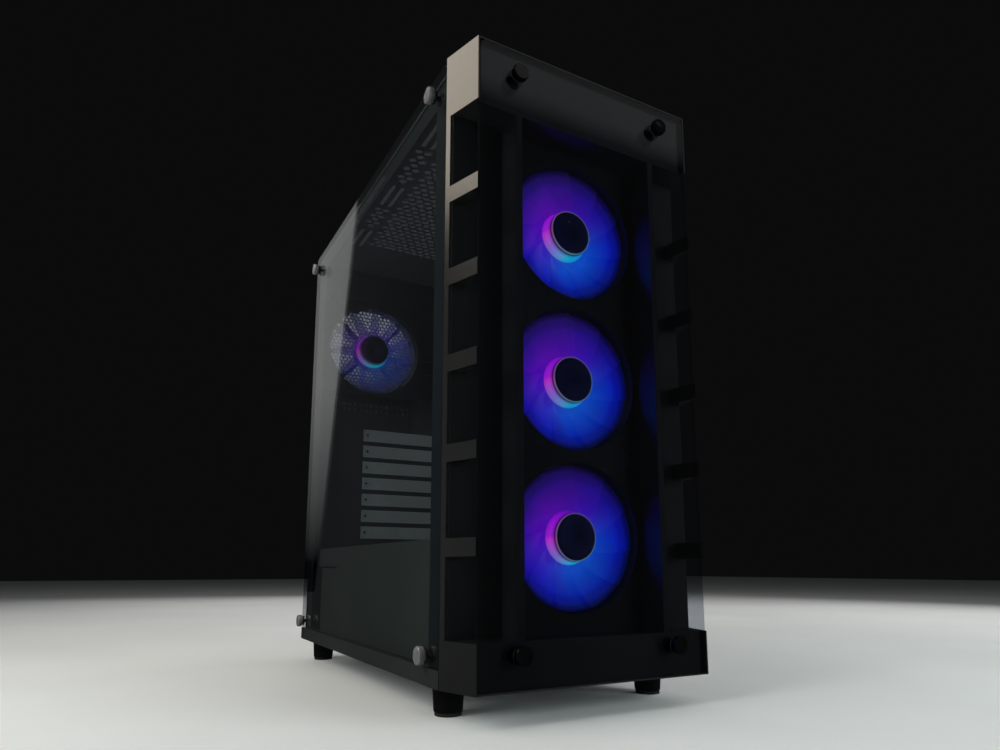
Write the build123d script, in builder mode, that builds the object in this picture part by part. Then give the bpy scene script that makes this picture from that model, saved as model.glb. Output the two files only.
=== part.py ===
"""Desktop computer tower: a steel mid-tower case with a glazed front and left side.

Three lit 120 mm intake fans stand behind the front glass and a fourth blows out of
the back.  The power supply and the drive cage sit under a shroud in the bottom.

Case coordinates, used by every helper below: x from the case's middle plane, y back
from the outer face of the front glass, z up from the underside of the steel case.
The written parts have their origin on the floor, under the middle of the whole tower.
"""
import os
from math import cos, hypot, radians, sin, sqrt

from build123d import *

os.makedirs("parts", exist_ok=True)

# ---------------------------------------------------------------- driving dimensions
HEIGHT = 469.5              # bezel and case, without the feet
FACE_HALF = 100.4           # half the width of the flat front face
BODY_HALF = 110.8           # half the width behind the bevelled front corners
BEZEL_DEPTH = 33.4          # front face to the back edge of the bezel
RIM_FRONT = 28.9            # where the side windows of the bezel end
REAR_WALL = 427.0           # outer face of the rear wall
FOOT_HEIGHT = 22.0
SHEET = 1.2                 # steel sheet
GLASS = 4.0                 # tempered glass
GAP = 0.3                   # between pieces that move apart
LIP = 1.3                   # bezel edge around the front glass

TOP_BLOCK = 418.3           # underside of the bezel's top block
BOTTOM_BLOCK = 32.4         # top of the bezel's bottom block
WALL = 3.0                  # bezel wall
RAIL_IN = 61.0              # inner and outer faces of the upright rails
RAIL_OUT = 66.0
RUNG_TOP = 360.35           # highest side rung, then one every RUNG_PITCH below
RUNG_PITCH = 64.97
RUNG_THICK = 12.5
RUNG_COUNT = 5

SCREW_HEAD = 6.5            # thumbscrew head radius
SCREW_PROUD = 7.0           # head height over the glass
SHANK = 1.9
FRONT_SCREWS = [(x, z) for x in (-67.5, 67.5) for z in (23.6, 447.5)]
SIDE_GLASS_FACE = -111.6    # outer face of the left glass
SIDE_SCREWS = [(y, z) for y in (55.0, 420.0) for z in (20.5, 450.0)]

FRONT_WALL = 27.3           # front face of the steel front wall
FAN = 120.0
FAN_THICK = 25.0
FAN_BORE = 57.3
FAN_SCREW_PITCH = 105.0
HUB = 18.5
BLADES = 11
BLADE_TIP = 55.8
FRONT_FANS = [103.6, 227.4, 351.1]
REAR_FAN = (-41.9, 351.7)
REAR_FAN_FRONT = REAR_WALL - SHEET - FAN_THICK

CEILING = 462.0             # underside of the steel top
TRAY = 73.0                 # left face of the motherboard tray
SHROUD_TOP = 102.2
SHROUD_SIDE = -97.7
SHROUD_FRONT = 57.0
SLOT_TOP = 253.1            # top of the highest slot cover
SLOT_PITCH = 20.32
SLOT_COUNT = 7
SLOT_COVER = 14.8           # height of one cover
SLOT_LEFT = -45.6
SLOT_RIGHT = 62.0
SLOT_SCREW = 1.7            # screw hole radius
IO_APERTURE = (42.2, 329.9, 44.45, 158.75)      # centre x, centre z, width, height
PSU_SIZE = (150.0, 140.0, 86.0)
PSU_BASE = 3.0
PANEL_FACE = 111.4          # outer face of the right side panel
REAR_REACH = REAR_WALL + SHEET + GAP + SCREW_PROUD
MESH = (9.0, 4.1)           # honeycomb pitch and hole radius
FINE_MESH = (5.0, 2.2)

# The origin is under the middle of the whole, thumbscrew heads included.
MID_X = -(PANEL_FACE + SIDE_GLASS_FACE - SCREW_PROUD) / 2
GLASS_Y = -(REAR_REACH - SCREW_PROUD) / 2
BASE_Z = FOOT_HEIGHT


# ---------------------------------------------------------------- helpers
def front_plane(y):
    """Plane facing the front at depth y: local x is x, local y is z, normal is -Y."""
    return Plane(origin=(MID_X, GLASS_Y + y, BASE_Z), x_dir=(1, 0, 0), z_dir=(0, -1, 0))


def side_plane(x):
    """Upright plane across the case at x: local x is y, local y is z, normal is +X."""
    return Plane(origin=(MID_X + x, GLASS_Y, BASE_Z), x_dir=(0, 1, 0), z_dir=(1, 0, 0))


def level_plane(z):
    """Level plane at height z: local x is x, local y is y, normal is +Z."""
    return Plane(origin=(MID_X, GLASS_Y, BASE_Z + z))


def at(plane, x, y):
    """The same plane with its origin moved to local (x, y)."""
    return Plane(origin=plane.from_local_coords((x, y, 0)), x_dir=plane.x_dir, z_dir=plane.z_dir)


def block(x0, x1, y0, y1, z0, z1, mode=Mode.ADD):
    """A box between two corners, in case coordinates."""
    middle = (MID_X + (x0 + x1) / 2, GLASS_Y + (y0 + y1) / 2, BASE_Z + (z0 + z1) / 2)
    with Locations(middle):
        Box(x1 - x0, y1 - y0, z1 - z0, mode=mode)


def rectangle(x0, x1, y0, y1, mode=Mode.ADD):
    """A rectangle between two corners of the current sketch."""
    with Locations(((x0 + x1) / 2, (y0 + y1) / 2)):
        Rectangle(x1 - x0, y1 - y0, mode=mode)


def holes(points, radius):
    """Round holes in the current sketch."""
    with Locations(*points):
        Circle(radius, mode=Mode.SUBTRACT)


def corners(x, y, dx, dy):
    """The four corners of a rectangle about (x, y)."""
    return [(x + i * dx / 2, y + j * dy / 2) for i in (-1, 1) for j in (-1, 1)]


def honeycomb(x0, x1, y0, y1, mesh=MESH):
    """Centres of a honeycomb inside a rectangle."""
    pitch, radius = mesh
    row_pitch = pitch * sqrt(3) / 2
    points = []
    for row in range(int((y1 - y0 - 2 * radius) / row_pitch) + 1):
        y = y0 + radius + row * row_pitch
        x = x0 + radius + (row % 2) * pitch / 2
        while x <= x1 - radius:
            points.append((x, y))
            x += pitch
    return points


def hex_holes(points, mesh=MESH):
    """Hexagonal holes in the current sketch."""
    with Locations(*points):
        RegularPolygon(mesh[1], 6, rotation=30, mode=Mode.SUBTRACT)


def save(builder, name):
    """Label a finished piece and write it."""
    builder.part.label = name
    export_step(builder.part, f"parts/{name}.step")


def bevel_x(y):
    """Half width of the bezel's bevelled corner at depth y."""
    return FACE_HALF + (BODY_HALF - FACE_HALF) * y / BEZEL_DEPTH


# ---------------------------------------------------------------- front bezel
POWER_BUTTON = (-78.0, 18.0, 6.0)        # x, y, radius
RESET_BUTTON = (-58.0, 18.0, 3.0)
LED_BUTTON = (-44.0, 18.0, 3.0)
USB_PORTS = [(-14.0, 18.0), (12.0, 18.0)]
USB_SHELL = (13.2, 5.9)
JACKS = [(34.0, 18.0), (48.0, 18.0)]
JACK = 3.0
POCKET_BACK = GLASS + GAP

with BuildPart() as front_bezel:
    for low, high in ((0, BOTTOM_BLOCK), (TOP_BLOCK, HEIGHT)):
        with BuildSketch(level_plane(low)):
            with BuildLine():
                Polyline(
                    (-FACE_HALF, 0.4), (FACE_HALF, 0.4), (BODY_HALF, BEZEL_DEPTH),
                    (-BODY_HALF, BEZEL_DEPTH), close=True,
                )
            make_face()
        extrude(amount=high - low)
        block(-95, 95, POCKET_BACK + WALL, FRONT_WALL, low + WALL, high - WALL, mode=Mode.SUBTRACT)
        block(-108, 108, FRONT_WALL - GAP, BEZEL_DEPTH, low + WALL, high - WALL, mode=Mode.SUBTRACT)
    block(-108, 108, FRONT_WALL - GAP, BEZEL_DEPTH, TOP_BLOCK, CEILING + 1.5, mode=Mode.SUBTRACT)
    block(-108, 108, FRONT_WALL - GAP, BEZEL_DEPTH, -1.0, BOTTOM_BLOCK, mode=Mode.SUBTRACT)
    for side in (-1, 1):
        rail = sorted((side * RAIL_IN, side * RAIL_OUT))
        block(*rail, POCKET_BACK, FRONT_WALL - GAP, BOTTOM_BLOCK, TOP_BLOCK)
        with BuildSketch(level_plane(0)):
            with BuildLine():
                Polyline(
                    (side * 108.0, RIM_FRONT), (side * bevel_x(RIM_FRONT), RIM_FRONT),
                    (side * BODY_HALF, BEZEL_DEPTH), (side * 108.0, BEZEL_DEPTH), close=True,
                )
            make_face()
        extrude(amount=HEIGHT)
        for rung in range(RUNG_COUNT):
            with BuildSketch(level_plane(RUNG_TOP - rung * RUNG_PITCH - RUNG_THICK)):
                with BuildLine():
                    Polyline(
                        (side * FACE_HALF, 0.4), (side * bevel_x(30.0), 30.0),
                        (side * 108.0, 30.0), (side * 108.0, FRONT_WALL - GAP),
                        (side * 96.6, FRONT_WALL - GAP), close=True,
                    )
                make_face()
            extrude(amount=RUNG_THICK)
    block(-FACE_HALF + LIP, FACE_HALF - LIP, -1, POCKET_BACK, LIP, HEIGHT - LIP, mode=Mode.SUBTRACT)
    for x, z in FRONT_SCREWS:
        with BuildSketch(at(front_plane(POCKET_BACK), x, z)):
            Circle(5.0)
        extrude(amount=-16)
        with BuildSketch(at(front_plane(POCKET_BACK), x, z)):
            Circle(SHANK + 0.35)
        extrude(amount=-17, mode=Mode.SUBTRACT)
    with BuildSketch(level_plane(HEIGHT - WALL)):
        for x, y, radius in (POWER_BUTTON, RESET_BUTTON, LED_BUTTON):
            with Locations((x, y)):
                Circle(radius + GAP)
        with Locations(*USB_PORTS):
            Rectangle(USB_SHELL[0] + 0.2, USB_SHELL[1] + 0.2)
        with Locations(*JACKS):
            Circle(JACK + 0.1)
    extrude(amount=WALL, mode=Mode.SUBTRACT)
save(front_bezel, "front_bezel")


# ---------------------------------------------------------------- glass and its screws
with BuildPart() as front_glass:
    with BuildSketch(front_plane(0)):
        with Locations((0, HEIGHT / 2)):
            RectangleRounded(2 * (FACE_HALF - LIP - GAP), HEIGHT - 2 * (LIP + GAP), 4.0)
        holes(FRONT_SCREWS, SHANK + 0.4)
    extrude(amount=-GLASS)
    chamfer(front_glass.faces().sort_by(Axis.Y)[0].outer_wire().edges(), 0.6)
save(front_glass, "front_glass")

SIDE_GLASS_Y = (33.9, 427.7)
SIDE_GLASS_Z = (12.8, 466.0)
with BuildPart() as side_glass:
    with BuildSketch(side_plane(SIDE_GLASS_FACE)):
        with Locations((sum(SIDE_GLASS_Y) / 2, sum(SIDE_GLASS_Z) / 2)):
            RectangleRounded(SIDE_GLASS_Y[1] - SIDE_GLASS_Y[0], SIDE_GLASS_Z[1] - SIDE_GLASS_Z[0], 5.0)
        holes(SIDE_SCREWS, SHANK + 0.4)
    extrude(amount=GLASS)
    chamfer(side_glass.faces().sort_by(Axis.X)[0].outer_wire().edges(), 0.6)
save(side_glass, "side_glass")

WASHER = 0.8


def make_washers(planes):
    """Thin rubber rings on the glass, one under each thumbscrew head."""
    with BuildPart() as washers:
        for plane in planes:
            with BuildSketch(plane):
                Circle(5.4)
                Circle(SHANK + 0.6, mode=Mode.SUBTRACT)
            extrude(amount=WASHER)
    return washers


def make_thumbscrew(plane):
    """A fluted thumbscrew whose plane is the glass face, with its normal outward."""
    with BuildPart(plane) as screw:
        with Locations((0, 0, -5.5)):
            Cylinder(SHANK, 15.0)
        with Locations((0, 0, WASHER + GAP + 0.75)):
            Cylinder(4.6, 1.5)
        with Locations((0, 0, (SCREW_PROUD + 2.6) / 2)):
            Cylinder(SCREW_HEAD, SCREW_PROUD - 2.6)
        outer = screw.faces().sort_by(Axis(plane.origin, plane.z_dir))[-1]
        chamfer(outer.edges(), 0.6)
        with Locations((0, 0, (SCREW_PROUD + 2.6) / 2)):
            with PolarLocations(SCREW_HEAD + 0.25, 24):
                Cylinder(0.5, SCREW_PROUD - 2.0, mode=Mode.SUBTRACT)
    return screw


front_screw_planes = [at(front_plane(0), x, z) for x, z in FRONT_SCREWS]
side_screw_planes = [
    Plane(origin=side_plane(SIDE_GLASS_FACE).from_local_coords((y, z, 0)), x_dir=(0, 1, 0), z_dir=(-1, 0, 0))
    for y, z in SIDE_SCREWS
]
save(make_washers(front_screw_planes), "front_glass_washers")
save(make_washers(side_screw_planes), "side_glass_washers")
for number, plane in enumerate(front_screw_planes, 1):
    save(make_thumbscrew(plane), f"front_thumbscrew_{number}")
for number, plane in enumerate(side_screw_planes, 1):
    save(make_thumbscrew(plane), f"side_thumbscrew_{number}")


# ---------------------------------------------------------------- steel case
FOOT_CENTRES = corners(0, 233.0, 182.0, 344.0)

with BuildPart() as base_pan:
    with BuildSketch(level_plane(0)):
        rectangle(-107.6, 107.6, 28.6, 33.8)
        rectangle(-109.5, 109.5, 33.8, REAR_WALL)
        with Locations((0, 355)):
            with GridLocations(8.5, 0, 13, 1):
                SlotOverall(104, 4.2, rotation=90, mode=Mode.SUBTRACT)
        holes(FOOT_CENTRES, 2.2)
    extrude(amount=SHEET)
    block(-111.2, -109.5, 33.8, 430.0, 0, 12.3)
    block(-111.2, -103.0, 33.8, 425.5, 12.3 - SHEET, 12.3)
    block(109.0, 109.9, 33.8, REAR_WALL, 0, 12.0)
save(base_pan, "base_pan")

TOP_SLOT_X = (-88.2, -79.2)
TOP_SLOT_Y = (116.5, 232.5, 335.0)
TOP_HEX = [(-72.0, 62.0, 92.0, 357.0), (-92.5, -73.0, 142.0, 206.0), (-92.5, -73.0, 259.0, 312.0)]

with BuildPart() as top_panel:
    with BuildSketch(level_plane(CEILING)):
        rectangle(-107.3, 107.3, 28.6, 33.8)
        rectangle(-107.3, 109.9, 33.8, REAR_WALL)
        for area in TOP_HEX:
            hex_holes(honeycomb(*area))
        with Locations(*[(x, y) for x in TOP_SLOT_X for y in TOP_SLOT_Y]):
            SlotOverall(44, 4.4, rotation=90, mode=Mode.SUBTRACT)
    extrude(amount=SHEET)
save(top_panel, "top_panel")

with BuildPart() as left_frame:
    with BuildSketch(side_plane(-105.6)):
        rectangle(33.8, 425.6, 12.6, CEILING - 0.1)
        rectangle(64.0, 409.0, 0, 446.0, mode=Mode.SUBTRACT)
        holes(SIDE_SCREWS, SHANK + 0.4)
    extrude(amount=SHEET)
save(left_frame, "left_frame")

with BuildPart() as glass_standoffs:
    for y, z in SIDE_SCREWS:
        with BuildSketch(at(side_plane(SIDE_GLASS_FACE + GLASS + GAP), y, z)):
            Circle(5.2)
            Circle(SHANK + 0.4, mode=Mode.SUBTRACT)
        extrude(amount=-105.6 - SIDE_GLASS_FACE - GLASS - GAP)
save(glass_standoffs, "glass_standoffs")

with BuildPart() as front_wall:
    with BuildSketch(front_plane(FRONT_WALL)):
        rectangle(-107.6, 107.6, 1.4, CEILING - 0.1)
        for z in FRONT_FANS:
            holes([(0, z)], FAN_BORE)
            holes(corners(0, z, FAN_SCREW_PITCH, FAN_SCREW_PITCH), 2.2)
        holes(FRONT_SCREWS, 5.6)
    extrude(amount=-1.0)
save(front_wall, "front_wall")


def rear_vent():
    """Centres of the fine honeycomb inside the rear fan's circle."""
    x, y = REAR_FAN
    square = honeycomb(x - 60, x + 60, y - 60, y + 60, FINE_MESH)
    return [point for point in square if hypot(point[0] - x, point[1] - y) < 57.0]


SLOT_SCREWS = [
    (SLOT_LEFT + 5, SLOT_TOP - slot * SLOT_PITCH - SLOT_COVER / 2) for slot in range(SLOT_COUNT)
]

with BuildPart() as rear_panel:
    with BuildSketch(front_plane(REAR_WALL - SHEET)):
        rectangle(-107.3, 109.0, 1.4, CEILING - 0.1)
        hex_holes(rear_vent(), FINE_MESH)
        with Locations((REAR_FAN[0] + 8, 281.0)):
            with GridLocations(7.0, 7.0, 14, 2):
                Circle(1.8, mode=Mode.SUBTRACT)
        holes(corners(*REAR_FAN, FAN_SCREW_PITCH, FAN_SCREW_PITCH), 2.2)
        with Locations(IO_APERTURE[:2]):
            Rectangle(*IO_APERTURE[2:], mode=Mode.SUBTRACT)
        for slot in range(SLOT_COUNT):
            top = SLOT_TOP - slot * SLOT_PITCH
            rectangle(SLOT_LEFT + 10, SLOT_RIGHT - 5, top - SLOT_COVER + 2, top - 2, mode=Mode.SUBTRACT)
        holes(SLOT_SCREWS, SLOT_SCREW)
        rectangle(-71, 71, PSU_BASE + 4, PSU_BASE + 82, mode=Mode.SUBTRACT)
        holes([(103.0, 60.0), (103.0, 400.0)], SHANK + 0.4)
    extrude(amount=-SHEET)
save(rear_panel, "rear_panel")

GROMMETS = [(92.0, z) for z in (165.0, 255.0, 345.0)]
CPU_CUTOUT = (330.0, 365.0, 110.0, 120.0)
BOARD_Y = (411.0 - 227.33, 411.0 - 102.87, 411.0)
BOARD_Z = (402.0 - 281.94, 402.0 - 157.48, 402.0)
STANDOFFS = [(y, z) for y in BOARD_Y for z in BOARD_Z]

with BuildPart() as motherboard_tray:
    with BuildSketch(side_plane(TRAY)):
        rectangle(58.0, 425.6, SHROUD_TOP + 0.2, CEILING - 0.1)
        with Locations(*GROMMETS):
            RectangleRounded(30, 62, 8, mode=Mode.SUBTRACT)
        with Locations(CPU_CUTOUT[:2]):
            RectangleRounded(*CPU_CUTOUT[2:], 8, mode=Mode.SUBTRACT)
        holes(STANDOFFS, 1.6)
    extrude(amount=SHEET)
save(motherboard_tray, "motherboard_tray")

with BuildPart() as tray_grommets:
    for centre in GROMMETS:
        with BuildSketch(at(side_plane(TRAY - 1.4), *centre)):
            RectangleRounded(36, 68, 10)
            RectangleRounded(26, 58, 6, mode=Mode.SUBTRACT)
        extrude(amount=1.4)
        with BuildSketch(at(side_plane(TRAY - 1.4), *centre)):
            RectangleRounded(30, 62, 8)
            RectangleRounded(26, 58, 6, mode=Mode.SUBTRACT)
        extrude(amount=SHEET + 2.6)
save(tray_grommets, "tray_grommets")

with BuildPart() as board_standoffs:
    for centre in STANDOFFS:
        with BuildSketch(at(side_plane(TRAY), *centre)):
            RegularPolygon(3.0, 6)
            Circle(1.3, mode=Mode.SUBTRACT)
        extrude(amount=-6.5)
        with BuildSketch(at(side_plane(TRAY), *centre)):
            Circle(1.6)
            Circle(1.3, mode=Mode.SUBTRACT)
        extrude(amount=SHEET + 1.0)
save(board_standoffs, "board_standoffs")

SHROUD_NOTCH = (400.0, 426.0, 0.0, 82.0)
SHROUD_SLIT = (335.0, 401.0, 80.4, 82.0)
with BuildPart() as psu_shroud:
    with BuildSketch(level_plane(SHROUD_TOP - SHEET)):
        rectangle(SHROUD_SIDE, TRAY + SHEET, SHROUD_FRONT, 425.6)
        with Locations((20, 110), (20, 300)):
            SlotOverall(70, 24, mode=Mode.SUBTRACT)
    extrude(amount=SHEET)
    with BuildSketch(side_plane(SHROUD_SIDE)):
        rectangle(SHROUD_FRONT, 425.6, SHEET + 0.2, SHROUD_TOP)
        rectangle(*SHROUD_NOTCH, mode=Mode.SUBTRACT)
        rectangle(*SHROUD_SLIT, mode=Mode.SUBTRACT)
    extrude(amount=SHEET)
    fillet(psu_shroud.edges().filter_by(Axis.Y).sort_by(Axis.Z)[-2:].sort_by(Axis.X)[0], 1.0)
save(psu_shroud, "psu_shroud")


# ---------------------------------------------------------------- rear wall fittings
COVER_THICK = 1.0
with BuildPart() as slot_covers:
    for slot in range(SLOT_COUNT):
        top = SLOT_TOP - slot * SLOT_PITCH
        with BuildSketch(front_plane(REAR_WALL - SHEET)):
            rectangle(SLOT_LEFT, SLOT_RIGHT, top - SLOT_COVER, top)
            holes([SLOT_SCREWS[slot]], SLOT_SCREW)
        extrude(amount=COVER_THICK)
save(slot_covers, "slot_covers")

with BuildPart() as slot_cover_screws:
    for centre in SLOT_SCREWS:
        with BuildSketch(at(front_plane(REAR_WALL), *centre)):
            Circle(SLOT_SCREW - 0.1)
        extrude(amount=SHEET + COVER_THICK)
        with BuildSketch(at(front_plane(REAR_WALL), *centre)):
            Circle(3.2)
            RegularPolygon(1.4, 6, mode=Mode.SUBTRACT)
        extrude(amount=-1.6)
save(slot_cover_screws, "slot_cover_screws")

with BuildPart() as io_blank:
    with BuildSketch(at(front_plane(REAR_WALL - 1.0), *IO_APERTURE[:2])):
        Rectangle(IO_APERTURE[2] - 0.4, IO_APERTURE[3] - 0.4)
        with Locations((0, -62), (0, -36), (0, 0), (0, 30)):
            Rectangle(26, 12, mode=Mode.SUBTRACT)
        with Locations((0, -62), (0, -36), (0, 0), (0, 30)):
            Rectangle(25, 11)
            Rectangle(27, 1.5)
    extrude(amount=-0.8)
save(io_blank, "io_blanking_plate")


# ---------------------------------------------------------------- fans
def blade_section(radius, chord, thickness, pitch, sweep, height):
    """Plane and size of one cross-section of a blade whose root is on +X."""
    chord_dir = (0, cos(radians(pitch)), sin(radians(pitch)))
    return Plane(origin=(radius, sweep, height), x_dir=chord_dir, z_dir=(1, 0, 0)), chord, thickness


BLADE_SECTIONS = [
    blade_section(HUB - 1.0, 15.0, 1.8, 42, 0.0, -12.5),
    blade_section(36.0, 23.0, 1.5, 34, 2.5, -12.5),
    blade_section(BLADE_TIP + 1.5, 31.0, 1.2, 26, 8.0, -12.5),
]

with BuildPart() as blade:
    for plane, chord, thickness in BLADE_SECTIONS:
        with BuildSketch(plane):
            Rectangle(chord, thickness)
    loft()


def make_rotor(plane):
    """Hub and blades; the plane is the fan's front face, centred on the shaft."""
    with BuildPart(plane) as rotor:
        with Locations((0, 0, -10.9)):
            Cylinder(HUB, 20.2)
        chamfer(rotor.edges().filter_by(GeomType.CIRCLE).group_by(Axis(plane.origin, plane.z_dir))[-1], 0.8)
        with PolarLocations(0, BLADES):
            add(blade.part)
        with Locations((0, 0, -12.5)):
            Cylinder(BLADE_TIP, 60, mode=Mode.INTERSECT)
    return rotor


def make_fan_frame(plane):
    """Square fan housing: two flanges joined by a duct, and the motor mount behind."""
    half = FAN_SCREW_PITCH / 2
    hole_points = [(i * half, j * half) for i in (-1, 1) for j in (-1, 1)]
    with BuildPart(plane) as frame:
        with BuildSketch(plane):
            RectangleRounded(FAN, FAN, 5)
            Circle(FAN_BORE, mode=Mode.SUBTRACT)
            holes(hole_points, 2.2)
        extrude(amount=-4.0)
        with BuildSketch(plane.offset(-FAN_THICK)):
            RectangleRounded(FAN, FAN, 5)
            Circle(FAN_BORE, mode=Mode.SUBTRACT)
            holes(hole_points, 2.2)
        extrude(amount=4.0)
        with BuildSketch(plane):
            Circle(FAN_BORE + 2.2)
            Circle(FAN_BORE, mode=Mode.SUBTRACT)
        extrude(amount=-FAN_THICK)
        with BuildSketch(plane.offset(-FAN_THICK)):
            Circle(20.0)
            with PolarLocations(38.0, 4, start_angle=45):
                Rectangle(40.0, 4.5)
        extrude(amount=2.6)
    return frame


front_fan_planes = [at(front_plane(FRONT_WALL + 1.0), 0, z) for z in FRONT_FANS]
rear_fan_plane = at(front_plane(REAR_FAN_FRONT), *REAR_FAN)
for number, plane in enumerate(front_fan_planes, 1):
    save(make_fan_frame(plane), f"front_fan_frame_{number}")
    save(make_rotor(plane), f"front_fan_rotor_{number}")
save(make_fan_frame(rear_fan_plane), "rear_fan_frame")
save(make_rotor(rear_fan_plane), "rear_fan_rotor")

with BuildPart() as fan_screws:
    for z in FRONT_FANS:
        for x, height in corners(0, z, FAN_SCREW_PITCH, FAN_SCREW_PITCH):
            with BuildSketch(at(front_plane(FRONT_WALL), x, height)):
                Circle(3.6)
            extrude(amount=1.4)
            with BuildSketch(at(front_plane(FRONT_WALL), x, height)):
                Circle(2.0)
            extrude(amount=-5.0)
    for x, height in corners(*REAR_FAN, FAN_SCREW_PITCH, FAN_SCREW_PITCH):
        with BuildSketch(at(front_plane(REAR_WALL), x, height)):
            Circle(3.6)
        extrude(amount=-1.4)
        with BuildSketch(at(front_plane(REAR_WALL), x, height)):
            Circle(2.0)
        extrude(amount=5.0)
save(fan_screws, "fan_screws")


# ---------------------------------------------------------------- power supply
PSU_REAR = REAR_WALL - SHEET
PSU_X = PSU_SIZE[0] / 2
PSU_FRONT = PSU_REAR - PSU_SIZE[1]
PSU_TOP = PSU_BASE + PSU_SIZE[2]
PSU_FAN = (0.0, 352.0)
INLET = (50.0, 30.0)        # x, z on the power supply's rear face
ROCKER = (50.0, 58.0)


with BuildPart() as psu_housing:
    block(-PSU_X, PSU_X, PSU_FRONT, PSU_REAR, PSU_BASE, PSU_TOP)
    block(-PSU_X + 1, PSU_X - 1, PSU_FRONT + 1, PSU_REAR - 1, PSU_BASE + 1, PSU_TOP - 1, mode=Mode.SUBTRACT)
    with BuildSketch(level_plane(PSU_BASE)):
        for radius in range(26, 62, 7):
            with Locations(PSU_FAN):
                Circle(radius + 2.4)
                Circle(radius - 2.4, mode=Mode.SUBTRACT)
        with Locations(PSU_FAN):
            Rectangle(140, 3, rotation=45, mode=Mode.SUBTRACT)
            Rectangle(140, 3, rotation=-45, mode=Mode.SUBTRACT)
    extrude(amount=1.0, mode=Mode.SUBTRACT)
    with BuildSketch(front_plane(PSU_REAR)):
        with Locations(*honeycomb(-66, 30, PSU_BASE + 8, PSU_BASE + 78)):
            RegularPolygon(MESH[1], 6, rotation=30)
        with Locations(INLET):
            Rectangle(27.2, 20.2)
        with Locations(ROCKER):
            Rectangle(20.2, 13.2)
    extrude(amount=1.0, mode=Mode.SUBTRACT)
save(psu_housing, "psu_housing")

with BuildPart(at(level_plane(PSU_BASE + 8.0), *PSU_FAN)) as psu_fan_rotor:
    with Locations((0, 0, 11)):
        Cylinder(20.0, 22.0)
    with Locations((0, 0, 24.0)):
        with PolarLocations(0, 7):
            add(blade.part)
    Cylinder(BLADE_TIP, 60, mode=Mode.INTERSECT)
save(psu_fan_rotor, "psu_fan_rotor")

with BuildPart() as power_inlet:
    with BuildSketch(at(front_plane(PSU_REAR + 2.5), *INLET)):
        Rectangle(30.5, 23.0)
    extrude(amount=2.5)
    with BuildSketch(at(front_plane(PSU_REAR), *INLET)):
        Rectangle(27.0, 20.0)
    extrude(amount=15.0)
    with BuildSketch(at(front_plane(PSU_REAR + 2.5), *INLET)):
        Rectangle(24.0, 16.4)
    extrude(amount=15.5, mode=Mode.SUBTRACT)
    with BuildSketch(at(front_plane(PSU_REAR - 13.0), *INLET)):
        with Locations((-7, -2), (0, 2.5), (7, -2)):
            Rectangle(2.0, 4.0)
    extrude(amount=-12.5)
save(power_inlet, "power_inlet")

with BuildPart() as rocker_bezel:
    with BuildSketch(at(front_plane(PSU_REAR + 1.6), *ROCKER)):
        Rectangle(23.0, 16.0)
        Rectangle(17.0, 10.0, mode=Mode.SUBTRACT)
    extrude(amount=1.6)
    with BuildSketch(at(front_plane(PSU_REAR), *ROCKER)):
        Rectangle(20.0, 13.0)
        Rectangle(17.0, 10.0, mode=Mode.SUBTRACT)
    extrude(amount=12.0)
save(rocker_bezel, "rocker_frame")

ROCKER_PIVOT = PSU_REAR - 4.0
ROCKER_TILT = 9.0           # it rests fully over to one side
with BuildPart() as rocker:
    with BuildSketch(at(level_plane(ROCKER[1]), ROCKER[0], ROCKER_PIVOT).rotated((0, 0, ROCKER_TILT))):
        with BuildLine():
            Polyline((-7.2, 4.4), (0, 3.0), (7.2, 4.4), (5.2, -3.5), (-5.2, -3.5), close=True)
        make_face()
    extrude(amount=4.6, both=True)
save(rocker, "rocker_switch")

with BuildPart() as psu_screws:
    for x, z in corners(0, 48.0, 146.0, 64.0):
        with BuildSketch(at(front_plane(REAR_WALL), x, z)):
            Circle(2.9)
        extrude(amount=-1.8)
save(psu_screws, "psu_screws")


# ---------------------------------------------------------------- drives and electronics
CAGE = (-58.0, 92.0, 100.0, 216.0, 1.4, 72.0)
with BuildPart() as drive_cage:
    block(*CAGE)
    block(CAGE[0] - 1, CAGE[1] + 1, CAGE[2] + 1, CAGE[3] - 1, CAGE[4] + 1, CAGE[5] - 1, mode=Mode.SUBTRACT)
    block(CAGE[0], CAGE[0] + 1, CAGE[2], CAGE[3], CAGE[4], CAGE[5])
    with BuildSketch(side_plane(CAGE[0])):
        with Locations(*corners(158, 36, 48, 34)):
            SlotOverall(38, 18)
    extrude(amount=1.0, mode=Mode.SUBTRACT)
save(drive_cage, "drive_cage")

for number, low in enumerate((5.0, 39.0), 1):
    with BuildPart() as caddy:
        block(-55.0, 90.0, 103.0, 213.0, low, low + 26.0)
        block(-53.0, 88.0, 105.5, 210.5, low + 3.0, low + 27.0, mode=Mode.SUBTRACT)
        block(90.0, 95.0, 101.5, 214.5, low - 1.5, low + 28.0)
        block(92.0, 96.0, 140.0, 176.0, low + 8.0, low + 18.0, mode=Mode.SUBTRACT)
    save(caddy, f"drive_caddy_{number}")

with BuildPart() as fan_hub:
    block(TRAY + SHEET, TRAY + SHEET + 14.0, 250.0, 330.0, 180.0, 236.0)
    fillet(fan_hub.edges().filter_by(Axis.X), 4.0)
    for y in range(256, 324, 9):
        block(TRAY + SHEET + 9.0, TRAY + SHEET + 15.0, y, y + 6.5, 226.0, 232.0, mode=Mode.SUBTRACT)
save(fan_hub, "fan_hub")

with BuildPart() as ssd_brackets:
    for z in (130.0, 290.0):
        block(TRAY + SHEET, TRAY + SHEET + 10.0, 130.0, 133.0, z, z + 74.0)
        block(TRAY + SHEET, TRAY + SHEET + 10.0, 227.0, 230.0, z, z + 74.0)
        block(TRAY + SHEET + 9.0, TRAY + SHEET + 10.0, 130.0, 230.0, z, z + 74.0)
save(ssd_brackets, "ssd_brackets")

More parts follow.
